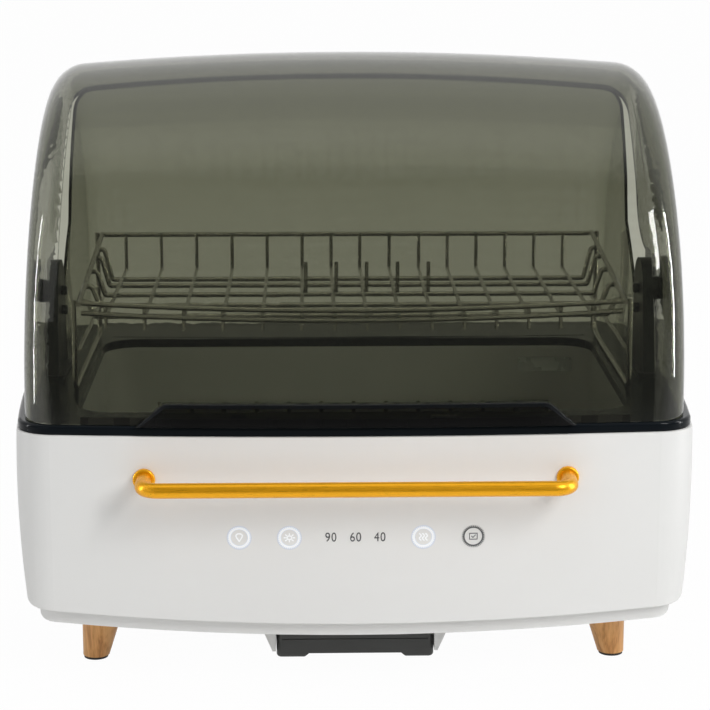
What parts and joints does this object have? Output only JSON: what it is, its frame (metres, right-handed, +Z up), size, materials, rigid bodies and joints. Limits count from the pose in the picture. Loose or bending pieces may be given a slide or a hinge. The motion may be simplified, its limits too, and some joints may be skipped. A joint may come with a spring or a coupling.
{
  "type": "dish sterilizer cabinet",
  "caption": "Counter-top dish sterilizer: bowed white case with gold bar and touch row, smoked visor lid on side hinges, wire racks over a grey tub, slide-out drip tray, wooden feet.",
  "frame": {"origin": "on the floor under the middle of the outside box", "axes": "+Z up, +X to the right of someone facing the front, the front faces -Y"},
  "size_m": [0.5026, 0.412, 0.4435],
  "materials": {
    "white_shell": "satin white ABS",
    "black_gloss": "glossy black",
    "black_matte": "fine-textured black",
    "grey_tub": "satin grey",
    "smoke": "smoked clear, polished",
    "clear": "clear",
    "lamp_glass": "clear quartz",
    "gold": "gold anodised, satin",
    "zinc": "zinc plated",
    "fin_metal": "bare fins",
    "wire_steel": "polished round wire",
    "beech": "oiled beech",
    "pad_rubber": "matte",
    "board_green": "solder mask",
    "ring_light": "translucent, lit from behind",
    "charcoal": "satin charcoal"
  },
  "bodies": {
    "base": {"housing": "white_shell", "bottom_pan": "white_shell", "top_frame": "black_gloss", "tub": "grey_tub", "rear_cover": "smoke", "hinge_post_left": "black_matte", "hinge_post_right": "black_matte", "hinge_pins": "black_gloss", "post_knobs": "black_gloss", "post_screws": "zinc", "handle_bar": "gold", "handle_flanges": "gold", "handle_screws": "zinc", "foot_front_left": "beech", "foot_front_right": "beech", "foot_rear_left": "beech", "foot_rear_right": "beech", "foot_pads": "pad_rubber", "foot_screws": "zinc", "tray_rail_left": "white_shell", "tray_rail_right": "white_shell", "rail_screws": "zinc", "touch_board": "board_green", "touch_spacers": "black_matte", "light_rings": "ring_light", "power_board": "board_green", "board_standoffs": "white_shell", "fan_frame": "black_matte", "fan_motor": "zinc", "fan_standoffs": "white_shell", "heater_frame": "zinc", "heater_core": "fin_metal", "floor_grille": "grey_tub", "uv_window": "clear", "uv_lamp": "lamp_glass", "uv_sockets": "black_matte", "drain_spout": "grey_tub", "cord_gland": "black_matte", "lid_sensor": "black_gloss", "pan_screws": "zinc", "rack_floor": "wire_steel", "rack_bends": "wire_steel", "rack_long_wires": "wire_steel", "rack_back": "wire_steel", "rack_front": "wire_steel", "rack_sides": "wire_steel", "rack_legs": "wire_steel", "rack_prongs": "wire_steel", "lower_rack_rails": "wire_steel", "lower_rack_wires": "wire_steel", "lower_rack_prongs": "wire_steel"},
    "lid": {"lid_shell": "smoke", "lid_hubs": "black_matte", "lid_seal": "pad_rubber", "lid_magnet": "black_matte"},
    "tray": {"drip_tray": "charcoal"},
    "rotor": {"fan_rotor": "black_matte"}
  },
  "joints": [
    {"name": "lid_hinge", "type": "hinge", "parent": "base", "child": "lid", "pos_m": [0, 0.012, 0.26], "axis": [-1, 0, 0], "range_deg": [0, 66]},
    {"name": "drip_tray_slide", "type": "slide", "parent": "base", "child": "tray", "axis": [0, -1, 0], "range_m": [0, 0.17]},
    {"name": "fan_spin", "type": "hinge", "parent": "base", "child": "rotor", "pos_m": [0.118, 0.04, 0.068], "axis": [0, 0, 1], "continuous": true}
  ]
}
